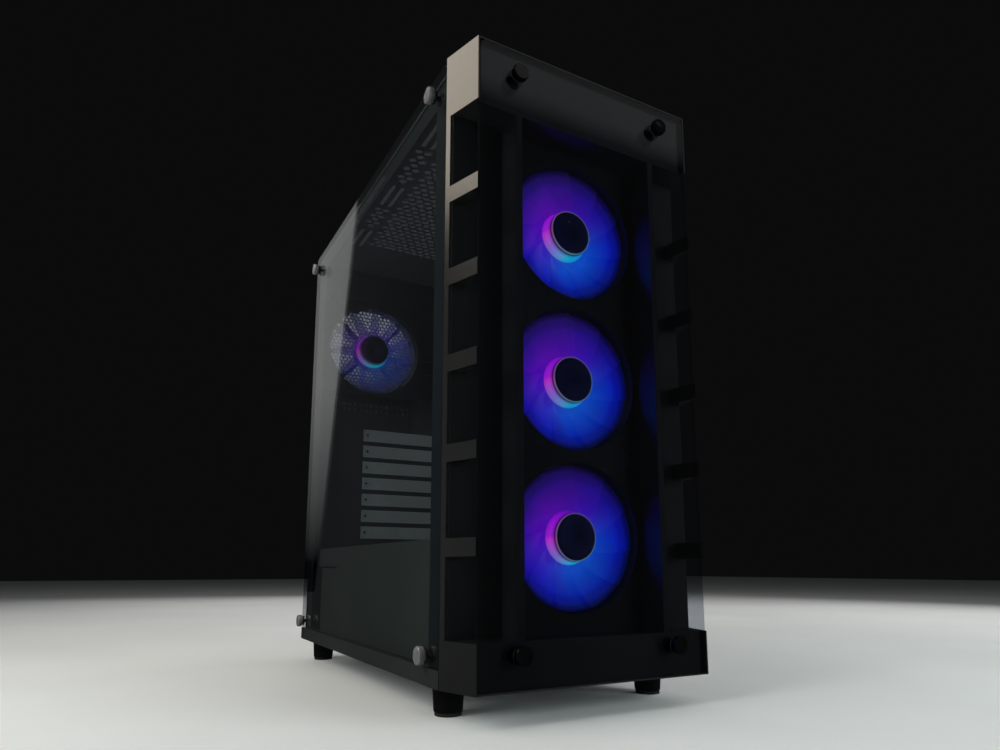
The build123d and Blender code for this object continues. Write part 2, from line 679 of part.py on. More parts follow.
BOARD_TOP = 455.0
with BuildPart() as io_board:
    block(-88.0, 58.0, 9.0, 26.0, BOARD_TOP - 1.6, BOARD_TOP)
    for x, y, radius in (POWER_BUTTON, RESET_BUTTON, LED_BUTTON):
        block(x - 3, x + 3, y - 3, y + 3, BOARD_TOP, BOARD_TOP + 3.4)
save(io_board, "io_board")

with BuildPart() as usb_ports:
    for x, y in USB_PORTS:
        with BuildSketch(at(level_plane(BOARD_TOP), x, y)):
            Rectangle(*USB_SHELL)
            Rectangle(USB_SHELL[0] - 0.8, USB_SHELL[1] - 0.8, mode=Mode.SUBTRACT)
        extrude(amount=HEIGHT - 0.2 - BOARD_TOP)
        block(x - 6.6, x + 6.6, y - 2.9, y + 2.9, BOARD_TOP, BOARD_TOP + 2.0)
        block(x - 5.6, x + 5.6, y - 1.6, y + 0.2, BOARD_TOP, HEIGHT - 1.5)
save(usb_ports, "usb_ports")

with BuildPart() as audio_jacks:
    for x, y in JACKS:
        with BuildSketch(at(level_plane(BOARD_TOP), x, y)):
            Circle(JACK)
            Circle(1.8, mode=Mode.SUBTRACT)
        extrude(amount=HEIGHT - BOARD_TOP)
save(audio_jacks, "audio_jacks")


def make_button(x, y, radius):
    """A push button held up under the bezel by its flange."""
    with BuildPart(at(level_plane(HEIGHT), x, y)) as button:
        with Locations((0, 0, -1.6)):
            Cylinder(radius, 4.4)
        with Locations((0, 0, -WALL - GAP - 1.0)):
            Cylinder(radius + 1.2, 2.0)
        with Locations((0, 0, -WALL - GAP - 3.0)):
            Cylinder(1.4, 3.0)
        chamfer(button.edges().group_by(Axis.Z)[-1], 0.4)
    return button


save(make_button(*POWER_BUTTON), "power_button")
save(make_button(*RESET_BUTTON), "reset_button")
save(make_button(*LED_BUTTON), "led_button")


# ---------------------------------------------------------------- panels, filters, feet
with BuildPart() as right_side_panel:
    block(PANEL_FACE - SHEET, PANEL_FACE, 33.8, REAR_WALL + GAP + SHEET, 0.6, 466.0)
    block(95.0, PANEL_FACE, REAR_WALL + GAP, REAR_WALL + GAP + SHEET, 12.6, 461.0)
    with BuildSketch(front_plane(REAR_WALL)):
        with Locations((103.0, 60.0), (103.0, 400.0)):
            Circle(SHANK + 0.1)
    extrude(amount=-3.0, mode=Mode.SUBTRACT)
save(right_side_panel, "right_side_panel")

with BuildPart() as right_panel_screws:
    for z in (60.0, 400.0):
        with BuildSketch(at(front_plane(REAR_WALL + GAP + SHEET), 103.0, z)):
            Circle(SCREW_HEAD)
            with PolarLocations(SCREW_HEAD + 0.25, 24):
                Circle(0.5, mode=Mode.SUBTRACT)
        extrude(amount=-SCREW_PROUD)
        with BuildSketch(at(front_plane(REAR_WALL + GAP + SHEET), 103.0, z)):
            Circle(SHANK)
        extrude(amount=10.0)
save(right_panel_screws, "right_panel_screws")

FILTER_BASE = CEILING + SHEET + GAP
with BuildPart() as top_dust_filter:
    with BuildSketch(level_plane(FILTER_BASE)):
        with Locations((-9.0, 224.5)):
            RectangleRounded(180.0, 276.0, 6)
            with GridLocations(58.0, 66.0, 3, 4):
                RectangleRounded(52.0, 60.0, 3, mode=Mode.SUBTRACT)
    extrude(amount=1.6)
    with BuildSketch(level_plane(FILTER_BASE + 0.6)):
        with Locations((-9.0, 224.5)):
            Rectangle(172.0, 262.0)
    extrude(amount=0.4)
save(top_dust_filter, "top_dust_filter")

with BuildPart() as psu_dust_filter:
    with BuildSketch(level_plane(-3.0)):
        rectangle(-60, 60, 292, 421)
        with Locations((-28.5, 352), (28.5, 352)):
            Rectangle(50, 108, mode=Mode.SUBTRACT)
    extrude(amount=2.0)
    block(-56, 56, 296, 410, -2.2, -1.8)
    block(-15, 15, 420, 428, -3.0, -1.0)
save(psu_dust_filter, "psu_dust_filter")

with BuildPart() as filter_rails:
    for side in (-1, 1):
        wall = sorted((side * 60.4, side * 62.4))
        lip = sorted((side * 57.0, side * 62.4))
        block(*wall, 290, 415, -4.6, 0)
        block(*lip, 290, 415, -4.6, -3.4)
save(filter_rails, "filter_rails")

PAD_THICK = 2.5
with BuildPart() as feet:
    for x, y in FOOT_CENTRES:
        with BuildSketch(at(level_plane(0), x, y)):
            Circle(12.5)
        with BuildSketch(at(level_plane(-4.0), x, y)):
            Circle(11.4)
        loft()
        with BuildSketch(at(level_plane(-4.0), x, y)):
            Circle(11.4)
        with BuildSketch(at(level_plane(PAD_THICK - FOOT_HEIGHT), x, y)):
            Circle(10.4)
        loft()
save(feet, "feet")

with BuildPart() as foot_pads:
    for x, y in FOOT_CENTRES:
        with BuildSketch(at(level_plane(-FOOT_HEIGHT), x, y)):
            Circle(9.8)
        extrude(amount=PAD_THICK)
save(foot_pads, "foot_pads")
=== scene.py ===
"""Looks of the desktop computer tower: materials, lit fans, light and camera."""
from math import cos, pi, radians, sin

import bpy
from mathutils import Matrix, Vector


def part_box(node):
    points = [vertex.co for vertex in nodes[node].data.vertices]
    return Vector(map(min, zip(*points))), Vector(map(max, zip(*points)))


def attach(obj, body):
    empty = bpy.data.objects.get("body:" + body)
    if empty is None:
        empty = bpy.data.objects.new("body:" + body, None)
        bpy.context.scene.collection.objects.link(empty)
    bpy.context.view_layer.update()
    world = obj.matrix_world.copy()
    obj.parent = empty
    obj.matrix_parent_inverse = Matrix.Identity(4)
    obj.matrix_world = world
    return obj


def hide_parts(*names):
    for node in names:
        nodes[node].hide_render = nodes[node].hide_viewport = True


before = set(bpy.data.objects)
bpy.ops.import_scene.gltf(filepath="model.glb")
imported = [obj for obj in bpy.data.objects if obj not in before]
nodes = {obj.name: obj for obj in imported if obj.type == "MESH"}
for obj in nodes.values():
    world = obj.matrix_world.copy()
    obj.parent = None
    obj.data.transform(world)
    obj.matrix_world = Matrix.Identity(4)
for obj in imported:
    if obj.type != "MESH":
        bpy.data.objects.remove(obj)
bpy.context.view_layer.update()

MM = 0.001
scene = bpy.context.scene

# Case coordinates, in millimetres: x from the case's middle plane, y back from the
# outer face of the front glass, z up from the underside of the steel case.
glass_low, glass_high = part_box("front_glass")
CASE_ORIGIN = Vector(((glass_low.x + glass_high.x) / 2, glass_low.y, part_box("base_pan")[0].z))


def case_point(x, y, z):
    """A point of the row frame, in metres, from case coordinates."""
    return CASE_ORIGIN + Vector((x, y, z)) * MM


def centre_of(node):
    """Middle of a CAD node's box."""
    low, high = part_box(node)
    return (low + high) / 2


# ---------------------------------------------------------------- camera, light, floor
CAMERA_AT = (-302.7, -402.05, 80.5)
CAMERA_YAW = 0.501
CAMERA_PITCH = 0.161
CAMERA_LENS = 24.675
CAMERA_SHIFT = 0.0816

camera = bpy.data.objects.new("camera", bpy.data.cameras.new("camera"))
camera.location = case_point(*CAMERA_AT)
camera.rotation_euler = (pi / 2 + CAMERA_PITCH, 0, -CAMERA_YAW)
camera.data.sensor_width = 36
camera.data.lens = CAMERA_LENS
camera.data.shift_y = CAMERA_SHIFT
camera.data.clip_start = 0.01
scene.collection.objects.link(camera)
scene.camera = camera
scene.view_settings.view_transform = "Standard"


def area_light(name, place, target, size, power, colour=(1, 1, 1), mirrored=False):
    """A soft rectangular lamp at one case point, aimed at another; size in metres, power in watts."""
    lamp = bpy.data.lights.new(name, "AREA")
    lamp.shape = "RECTANGLE"
    lamp.size, lamp.size_y = size
    lamp.energy = power
    lamp.color = colour
    light = bpy.data.objects.new(name, lamp)
    light.location = case_point(*place)
    aim = case_point(*target) - light.location
    light.rotation_euler = aim.to_track_quat("-Z", "Y").to_euler()
    light.visible_camera = False
    light.visible_glossy = mirrored
    scene.collection.objects.link(light)


area_light("overhead", (0, 200, 1900), (0, 200, 0), (1.4, 1.4), 5)
area_light(
    "upper_left", (-905, 488, 1190), (-105, 17, 430), (0.6, 0.58), 4.5, (1, 0.89, 0.74), mirrored=True,
)
area_light("side_left", (-1250, -60, 760), (-60, 330, 200), (0.7, 0.9), 17, (0.97, 1, 0.98))
area_light("low_left", (-700, 60, 40), (0, 260, 440), (0.35, 0.35), 1.6, (0.86, 0.93, 1))
area_light("front_fill", (950, -1250, 420), (0, 0, 240), (0.9, 0.9), 30, (0.86, 1, 1))
area_light("right_fill", (1500, 300, 900), (100, 200, 240), (1.2, 1.2), 12)
area_light("back_fill", (300, 1900, 900), (0, 420, 240), (1.2, 1.0), 8)

WORLD_SEEN = (0.0035, 0.0035, 0.0037)
WORLD_LIGHT = (0.02, 0.021, 0.022)
GRILLE_GLOW = (1.0, 1.02, 1.05)
GLOW_TOWARDS = (0.250, 0.907, 0.338)    # way to the pale patch's middle
GLOW_COSINES = (0.9950, 0.9996)         # cosines of the angles where it starts and is full
PANES_BEFORE_GRILLE = 2.5               # more see-through layers than this lie in front

world = bpy.data.worlds.new("studio")
scene.world = world
world.use_nodes = True


def world_node(kind, **settings):
    made = world.node_tree.nodes.new("ShaderNode" + kind)
    for key, value in settings.items():
        setattr(made, key, value)
    return made


def mix_colours(tree, factor, a, b):
    """Colour a where factor is 0 and b where it is 1; each is a socket or a colour."""
    made = tree.nodes.new("ShaderNodeMix")
    made.data_type = "RGBA"
    tree.links.new(factor, made.inputs["Factor"])
    colours = [socket for socket in made.inputs if socket.type == "RGBA"]
    for socket, value in zip(colours, (a, b)):
        if isinstance(value, tuple):
            socket.default_value = (*value, 1)
        else:
            tree.links.new(value, socket)
    return next(socket for socket in made.outputs if socket.type == "RGBA")


# The backdrop is dark. What shows through both the side glass and the rear fan, and so
# lights up the rear grille's holes, is a pale patch of it.
ray = world_node("LightPath")
towards = world_node("TexCoord")
along = world_node("VectorMath", operation="DOT_PRODUCT")
along.inputs[1].default_value = Vector(GLOW_TOWARDS).normalized()
world.node_tree.links.new(towards.outputs["Generated"], along.inputs[0])
spot = world_node("MapRange", interpolation_type="SMOOTHSTEP")
spot.inputs["From Min"].default_value, spot.inputs["From Max"].default_value = GLOW_COSINES
world.node_tree.links.new(along.outputs["Value"], spot.inputs["Value"])
through = world_node("Math", operation="GREATER_THAN")
through.inputs[1].default_value = PANES_BEFORE_GRILLE
world.node_tree.links.new(ray.outputs["Transparent Depth"], through.inputs[0])
grille = world_node("Math", operation="MULTIPLY")
world.node_tree.links.new(spot.outputs["Result"], grille.inputs[0])
world.node_tree.links.new(through.outputs[0], grille.inputs[1])
backdrop = mix_colours(world.node_tree, grille.outputs[0], WORLD_SEEN, GRILLE_GLOW)
sky = mix_colours(world.node_tree, ray.outputs["Is Camera Ray"], WORLD_LIGHT, backdrop)
world.node_tree.links.new(sky, world.node_tree.nodes["Background"].inputs["Color"])


# ---------------------------------------------------------------- material helpers
class Shader:
    """A node material with a Principled shader and short calls for its inputs."""

    def __init__(self, name):
        self.material = bpy.data.materials.new(name)
        self.material.use_nodes = True
        self.tree = self.material.node_tree
        self.principled = self.tree.nodes["Principled BSDF"]
        self.output = self.tree.nodes["Material Output"]
        self.place = self.tree.nodes.new("ShaderNodeTexCoord").outputs["Object"]

    def node(self, kind, **settings):
        made = self.tree.nodes.new("ShaderNode" + kind)
        for key, value in settings.items():
            setattr(made, key, value)
        return made

    def link(self, source, target):
        self.tree.links.new(source, target)

    def set(self, **values):
        for key, value in values.items():
            self.principled.inputs[key.replace("_", " ")].default_value = value

    def noise(self, scale, detail):
        """A noise texture's value; scale is in features per metre."""
        made = self.node("TexNoise")
        made.inputs["Scale"].default_value = scale
        made.inputs["Detail"].default_value = detail
        self.link(self.place, made.inputs["Vector"])
        return made.outputs["Fac"]

    def ramp(self, value, stops, smooth=False):
        """Colour by value: stops are (position, colour)."""
        made = self.node("ValToRGB")
        ramp = made.color_ramp
        ramp.interpolation = "EASE" if smooth else "LINEAR"
        while len(ramp.elements) < len(stops):
            ramp.elements.new(0.5)
        for element, (position, colour) in zip(ramp.elements, stops):
            element.position = position
            element.color = (*colour, 1)
        self.link(value, made.inputs["Fac"])
        return made.outputs["Color"]

    def range(self, value, low, high, to_low=0.0, to_high=1.0):
        """value rescaled from one range to another, clamped."""
        made = self.node("MapRange")
        ends = {"From Min": low, "From Max": high, "To Min": to_low, "To Max": to_high}
        for key, number in ends.items():
            made.inputs[key].default_value = number
        self.link(value, made.inputs["Value"])
        return made.outputs["Result"]

    def math(self, operation, a, b=None):
        """One Math node on two values, each a socket or a number."""
        made = self.node("Math", operation=operation)
        for socket, value in zip(made.inputs, (a, b)):
            if isinstance(value, (int, float)):
                socket.default_value = value
            elif value is not None:
                self.link(value, socket)
        return made.outputs[0]

    def mix(self, factor, a, b):
        """Two colours mixed by a factor; each is a socket or a colour."""
        return mix_colours(self.tree, factor, a, b)

    def bump(self, height, distance):
        """Bump from a height value; distance in metres."""
        made = self.node("Bump")
        made.inputs["Strength"].default_value = 1.0
        made.inputs["Distance"].default_value = distance
        self.link(height, made.inputs["Height"])
        self.link(made.outputs["Normal"], self.principled.inputs["Normal"])


def grained(name, dark, light, rough, grain, depth, metallic=0.0, patch=9.0):
    """A surface with fine grain, slow colour drift and uneven gloss.

    grain and patch are features per metre, depth is the grain's height in metres."""
    s = Shader(name)
    drift = s.noise(patch, 4)
    fine = s.noise(grain, 2)
    s.link(s.ramp(drift, [(0.3, dark), (0.7, light)]), s.principled.inputs["Base Color"])
    s.link(s.range(s.math("ADD", drift, fine), 0.6, 1.4, *rough), s.principled.inputs["Roughness"])
    s.set(Metallic=metallic)
    s.bump(fine, depth)
    return s.material


def paint(object_names, material):
    """Give CAD nodes one material."""
    for name in object_names:
        slots = nodes[name].data.materials
        slots.clear()
        slots.append(material)


def names_with(*words):
    """CAD nodes whose names hold one of the words."""
    return [n for n in nodes if any(w in n for w in words)]


WELD_WITHIN = 0.01          # mm between corners that count as one
FLAT_WITHIN = 0.5           # degrees between faces that count as one


def soften(object_names, width, angle=35):
    """Small rounded edges, width in mm, where faces meet at more than angle in degrees."""
    for name in object_names:
        weld = nodes[name].modifiers.new("weld", "WELD")
        weld.merge_threshold = WELD_WITHIN * MM
        flat = nodes[name].modifiers.new("flat", "DECIMATE")
        flat.decimate_type = "DISSOLVE"
        flat.angle_limit = radians(FLAT_WITHIN)
        bevel = nodes[name].modifiers.new("bevel", "BEVEL")
        bevel.width = width * MM
        bevel.segments = 2
        bevel.limit_method = "ANGLE"
        bevel.angle_limit = radians(angle)
        bevel.use_clamp_overlap = True


# ---------------------------------------------------------------- plain materials
# Each gives grained its two colours, its roughness range, grain and grain height.
def bezel_plastic():
    dark, light = (0.008, 0.008, 0.0082), (0.012, 0.0118, 0.0113)
    return grained("bezel_plastic", dark, light, (0.17, 0.27), 2600, 0.00003)


def powder_coat(name, dark, light, rough=(0.38, 0.52)):
    return grained(name, dark, light, rough, 3200, 0.00005, patch=7)


def nickel(name, dark, light, metallic):
    return grained(name, dark, light, (0.16, 0.30), 1500, 0.00001, metallic, patch=160)


def rubber():
    return grained("rubber", (0.008,) * 3, (0.014,) * 3, (0.6, 0.8), 4000, 0.00004)


def turned_metal(name, dark, light):
    return grained(name, dark, light, (0.2, 0.4), 2500, 0.00001, metallic=1.0, patch=300)


def dark_plastic(name, value, rough=(0.32, 0.48)):
    return grained(name, (value * 0.8,) * 3, (value * 1.25,) * 3, rough, 2200, 0.00003, patch=20)


WEAVE_SCALE = 260           # how fine the filters' threads are


def filter_mesh(name, glow):
    """Woven nylon, whose threads glow a little in place of light that comes down through them."""
    s = Shader(name)
    waves = []
    for direction in ("X", "Y"):
        wave = s.node("TexWave", wave_type="BANDS", bands_direction=direction)
        wave.inputs["Scale"].default_value = WEAVE_SCALE
        s.link(s.place, wave.inputs["Vector"])
        waves.append(wave.outputs["Fac"])
    weave = s.math("MAXIMUM", *waves)
    threads = s.ramp(weave, [(0.35, (0.003, 0.003, 0.003)), (0.8, (0.03, 0.03, 0.031))])
    lit_threads = s.ramp(weave, [(0.35, (0.02, 0.02, 0.02)), (0.8, (0.07, 0.073, 0.078))])
    s.link(threads, s.principled.inputs["Base Color"])
    s.link(lit_threads, s.principled.inputs["Emission Color"])
    s.set(Roughness=0.6, Emission_Strength=glow)
    s.bump(weave, 0.0002)
    return s.material


HEAD_ON_MIRROR = 0.04       # share of light that glass mirrors when seen square on


def tinted_glass(name, tint, haze):
    """A clear tinted pane: what is behind shows through, and the surface mirrors."""
    s = Shader(name)
    clear = s.node("BsdfTransparent")
    smudge = s.noise(14, 5)
    darker = tuple(c * 0.93 for c in tint)
    s.link(s.ramp(smudge, [(0.25, darker), (0.75, tint)]), clear.inputs["Color"])
    gloss = s.node("BsdfGlossy")
    gloss.inputs["Color"].default_value = (1, 1, 1, 1)
    s.link(s.range(smudge, 0.3, 0.8, haze * 0.4, haze), gloss.inputs["Roughness"])
    facing = s.node("LayerWeight")
    facing.inputs["Blend"].default_value = 0.5
    share = s.math("MULTIPLY", s.math("POWER", facing.outputs["Facing"], 5.0), 1 - HEAD_ON_MIRROR)
    mix = s.node("MixShader")
    s.link(s.math("ADD", share, HEAD_ON_MIRROR), mix.inputs["Fac"])
    s.link(clear.outputs[0], mix.inputs[1])
    s.link(gloss.outputs[0], mix.inputs[2])
    s.link(mix.outputs[0], s.output.inputs["Surface"])
    s.tree.nodes.remove(s.principled)
    return s.material


# ---------------------------------------------------------------- lit fans
HUB_RADIUS = 18.5
TIP_RADIUS = 55.8
BLADES = 11
BLADE_STATIONS = 9          # sections along a blade
BLADE_OUTLINE = 16          # points around a section
ROOT_DEPTH = 16.4           # middle of a blade's root behind the hub's face
RAKE = 10.8                 # how far the tip comes forward of the root
BODY_SHADE = 0.008          # how pale the unlit plastic is
INSIDE_ENDS = 25.0          # radii, in mm, between which the inside colours give way
OUTSIDE_STARTS = 46.0
RADIUS_REACH = 60.0         # where the brightness stops by radius and by depth end, in mm
DEPTH_REACH = 20.0
TRIM_SHARE = 0.6            # brightness of the trim and of the hub wall, as shares of the blades'
WALL_SHARE = 0.8
# Glow colours by angle, as shares of a turn from the left edge round by the bottom.
GLOW_INSIDE = [
    (0.0, (0.060, 0.002, 0.37)),
    (0.125, (0.030, 0.014, 0.38)),
    (0.25, (0.005, 0.060, 0.43)),
    (0.375, (0.003, 0.060, 0.42)),
    (0.5, (0.002, 0.045, 0.39)),
    (0.625, (0.033, 0.004, 0.35)),
    (0.75, (0.052, 0.002, 0.27)),
    (0.875, (0.080, 0.002, 0.31)),
    (1.0, (0.060, 0.002, 0.37)),
]
GLOW_OUTSIDE = [
    (0.0, (0.018, 0.0015, 0.200)),
    (0.125, (0.005, 0.0045, 0.342)),
    (0.25, (0.0006, 0.0110, 0.314)),
    (0.375, (0.0004, 0.0100, 0.270)),
    (0.5, (0.0010, 0.0070, 0.370)),
    (0.625, (0.010, 0.002, 0.220)),
    (0.75, (0.019, 0.002, 0.150)),
    (0.875, (0.016, 0.002, 0.160)),
    (1.0, (0.018, 0.0015, 0.200)),
]
RING_AROUND = [
    (0.0, (0.38, 0.012, 0.40)),
    (0.12, (0.16, 0.10, 0.40)),
    (0.25, (0.004, 0.25, 0.36)),
    (0.40, (0.004, 0.12, 0.38)),
    (0.5, (0.004, 0.09, 0.36)),
    (0.63, (0.05, 0.006, 0.28)),
    (0.75, (0.075, 0.001, 0.29)),
    (0.88, (0.20, 0.003, 0.42)),
    (1.0, (0.26, 0.012, 0.42)),
]


def polar(s, centre):
    """Angle (0 to 1, from the left round by the bottom) and radius in mm about a fan's axis."""
    shift = s.node("VectorMath", operation="SUBTRACT")
    s.link(s.place, shift.inputs[0])
    shift.inputs[1].default_value = centre
    parts = s.node("SeparateXYZ")
    s.link(shift.outputs[0], parts.inputs[0])
    x, z = parts.outputs["X"], parts.outputs["Z"]
    angle = s.math("ARCTAN2", z, x)
    turn = s.math("ADD", s.math("DIVIDE", angle, 2 * pi), 0.5)
    square = s.math("ADD", s.math("MULTIPLY", x, x), s.math("MULTIPLY", z, z))
    return turn, s.math("DIVIDE", s.math("SQRT", square), MM)


def stops_in_mm(s, distance, reach, stops):
    """Brightness by a distance in mm, smooth between (mm, brightness) stops out to reach."""
    greys = [(d / reach, (v, v, v)) for d, v in stops]
    return s.ramp(s.math("DIVIDE", distance, reach), greys, smooth=True)


def glow_material(
    name, centre, inside, outside, fade, strength, clear=0.0, depths=None, body=BODY_SHADE,
):
    """Lit plastic: colour by angle and radius, brightness by radius and by depth behind centre.

    fade and depths are (mm, brightness) stops, clear is how much shows through."""
    s = Shader(name)
    turn, radius = polar(s, centre)
    outwards = s.range(radius, INSIDE_ENDS, OUTSIDE_STARTS)
    colour = s.mix(outwards, s.ramp(turn, inside), s.ramp(turn, outside))
    level = stops_in_mm(s, radius, RADIUS_REACH, fade)
    level = s.math("MULTIPLY", level, s.range(s.noise(60, 3), 0.3, 0.7, 0.92, 1.06))
    if depths:
        parts = s.node("SeparateXYZ")
        s.link(s.place, parts.inputs[0])
        depth = s.math("DIVIDE", s.math("SUBTRACT", parts.outputs["Y"], centre.y), MM)
        level = s.math("MULTIPLY", level, stops_in_mm(s, depth, DEPTH_REACH, depths))
    s.link(colour, s.principled.inputs["Emission Color"])
    s.link(s.math("MULTIPLY", level, strength), s.principled.inputs["Emission Strength"])
    dark, light = (0.8 * body, 0.8 * body, body), (1.3 * body, 1.3 * body, 1.6 * body)
    s.link(s.mix(s.noise(40, 2), dark, light), s.principled.inputs["Base Color"])
    s.set(Roughness=0.32)
    if clear:
        see = s.node("BsdfTransparent")
        mix = s.node("MixShader")
        mix.inputs["Fac"].default_value = clear
        s.link(s.principled.outputs[0], mix.inputs[1])
        s.link(see.outputs[0], mix.inputs[2])
        s.link(mix.outputs[0], s.output.inputs["Surface"])
    return s.material


def rotor_piece(name, shape, body, material):
    """A smooth mesh piece, from (vertices, faces), that rides on a fan's body."""
    vertices, faces = shape
    mesh = bpy.data.meshes.new(name)
    mesh.from_pydata(vertices, [], faces)
    mesh.validate()
    mesh.update()
    mesh.shade_smooth()
    piece = bpy.data.objects.new(name, mesh)
    scene.collection.objects.link(piece)
    mesh.materials.append(material)
    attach(piece, body)
    return piece


def turned(profile, centre, segments=96):
    """Vertices and faces of a closed profile (radius, depth) turned about a fan's axis."""
    vertices, faces = [], []
    count = len(profile)
    for k in range(segments):
        a = 2 * pi * k / segments
        for r, d in profile:
            vertices.append(centre + Vector((r * cos(a), d, r * sin(a))) * MM)
    for k in range(segments):
        for j in range(count):
            a, b = k * count, ((k + 1) % segments) * count
            faces.append((a + j, a + (j + 1) % count, b + (j + 1) % count, b + j))
    return vertices, faces


def blade_points(station):
    """Outline of one blade section, as (radius, distance round, depth behind the hub's face).

    All in mm. station runs from 0 at the hub to 1 at the tip."""
    radius = HUB_RADIUS - 1.0 + station * (TIP_RADIUS - HUB_RADIUS + 1.0)
    pitch = radians(21 - 18 * station)
    chord = (1.8 - 0.7 * station) * 2 * pi * radius / BLADES / cos(pitch)
    sweep = 9.0 * station ** 1.6
    camber = 1.6 - 1.3 * station
    thick = 1.8 - 0.7 * station
    outline = []
    for k in range(BLADE_OUTLINE):
        a = 2 * pi * k / BLADE_OUTLINE
        along = -cos(a) / 2
        side = sin(a)
        half_thick = thick / 2 * (abs(side) ** 0.7) * (1 if side >= 0 else -1)
        offset = camber * (1 - 4 * along * along) + half_thick
        tangent = sweep + along * chord * cos(pitch) - offset * sin(pitch)
        depth = ROOT_DEPTH - RAKE * station + along * chord * sin(pitch) + offset * cos(pitch)
        outline.append((radius, tangent, depth))
    return outline


def blade_set(centre):
    """All blades of a rotor, as closed shells."""
    vertices, faces = [], []
    last = BLADE_STATIONS - 1
    sections = [blade_points(k / last) for k in range(BLADE_STATIONS)]
    steps = BLADE_OUTLINE
    for blade in range(BLADES):
        start = len(vertices)
        turn = 2 * pi * blade / BLADES
        for section in sections:
            for radius, tangent, depth in section:
                a = turn + tangent / radius
                vertices.append(centre + Vector((radius * cos(a), depth, radius * sin(a))) * MM)
        for i in range(last):
            for j in range(steps):
                a, b = start + i * steps, start + (i + 1) * steps
                faces.append((a + j, a + (j + 1) % steps, b + (j + 1) % steps, b + j))
        faces.append(tuple(start + j for j in range(steps))[::-1])
        faces.append(tuple(start + last * steps + j for j in range(steps)))
    return vertices, faces


# Closed profiles, as (radius, depth behind the hub's face) in mm.
HUB_CAP = [(0.001, 0.0), (15.6, 0.0), (17.0, 0.3), (17.6, 0.9), (17.7, 2.0), (0.001, 2.0)]
HUB_TRIM = [(17.7, 0.5), (18.3, 0.6), (18.5, 1.0), (18.5, 1.6), (17.7, 1.6)]
HUB_WALL = [
    (17.7, 1.6), (18.5, 1.6), (19.2, 6.0), (21.0, 11.6), (18.5, 11.8),
    (18.5, 19.5), (16.5, 19.5), (16.5, 2.1), (17.7, 2.1),
]
HUB_SKIRT = [(20.9, 11.6), (24.5, 12.0), (26.5, 13.2), (26.5, 14.0), (18.6, 14.0), (18.6, 12.0)]

# Brightness stops, in mm of radius or of depth.
FLAT = [(0.0, 1.0), (RADIUS_REACH, 1.0)]
WALL_DEPTHS = [(0.0, 0.2), (2.6, 0.25), (4.2, 1.2), (7.0, 1.6), (11.6, 1.3), (19.0, 0.4)]
FADE = [(17.0, 1.15), (24.0, 1.0), (42.0, 0.95), (49.0, 0.62), (53.5, 0.2), (56.0, 0.04)]
TRIM_AROUND = [(p, tuple(0.55 * c + 0.09 for c in colour)) for p, colour in RING_AROUND]
hub_plastic = grained(
    "hub_cap_plastic", (0.003, 0.004, 0.024), (0.005, 0.006, 0.036), (0.25, 0.35), 2200, 0.00003,
)


def dress_fan(body, node, strength, clear=0.0, pale=BODY_SHADE):
    """Replace one rotor node by curved blades and a hub: skirt, cap, bright trim and lit wall."""
    centre = centre_of(node)
    front = Vector((centre.x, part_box(node)[0].y, centre.z))
    blade_glow = glow_material(
        body + "_blade_glow", front, GLOW_INSIDE, GLOW_OUTSIDE, FADE, strength, clear, body=pale,
    )
    trim_glow = glow_material(
        body + "_trim_glow", front, TRIM_AROUND, TRIM_AROUND, FLAT, strength * TRIM_SHARE,
    )
    wall_strength = strength * WALL_SHARE + clear
    wall_glow = glow_material(
        body + "_wall_glow", front, RING_AROUND, RING_AROUND, FLAT, wall_strength, depths=WALL_DEPTHS,
    )
    blades = rotor_piece(body + "_blades", blade_set(front), body, blade_glow)
    rotor_piece(body + "_hub_skirt", turned(HUB_SKIRT, front), body, blade_glow)
    rotor_piece(body + "_hub_cap", turned(HUB_CAP, front), body, hub_plastic)
    rotor_piece(body + "_hub_trim", turned(HUB_TRIM, front), body, trim_glow)
    rotor_piece(body + "_hub_wall", turned(HUB_WALL, front), body, wall_glow)
    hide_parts(node)


for number in (1, 2, 3):
    dress_fan(f"front_fan_{number}", f"front_fan_rotor_{number}", strength=1.9)
# The rear fan's plastic is painted far paler than the front fans': painted light from behind the rear
# grille.
dress_fan("rear_fan", "rear_fan_rotor", strength=0.5, clear=0.6, pale=0.16)


# ---------------------------------------------------------------- CAD nodes
case_coat = powder_coat("case_powder_coat", (0.030, 0.031, 0.0315), (0.040, 0.041, 0.041))
paint([n for n in nodes if not nodes[n].hide_render], case_coat)
paint(["front_bezel"], bezel_plastic())
# The front wall's coat is far darker than the case's steel: painted shade behind the bezel.
paint(["front_wall"], powder_coat("front_wall_coat_painted_shade", (0.004,) * 3, (0.007,) * 3, (0.5, 0.65)))
paint(
    ["motherboard_tray", "right_side_panel"],
    powder_coat("tray_coat", (0.020, 0.021, 0.022), (0.027, 0.028, 0.029)),
)
# The left frame's coat is darker than the case's steel and tinted blue: painted shade, and painted
# glow from the lit fans.
paint(["left_frame"], powder_coat("left_frame_coat_painted_glow_and_shade", (0.013, 0.014, 0.020), (0.017, 0.018, 0.026)))
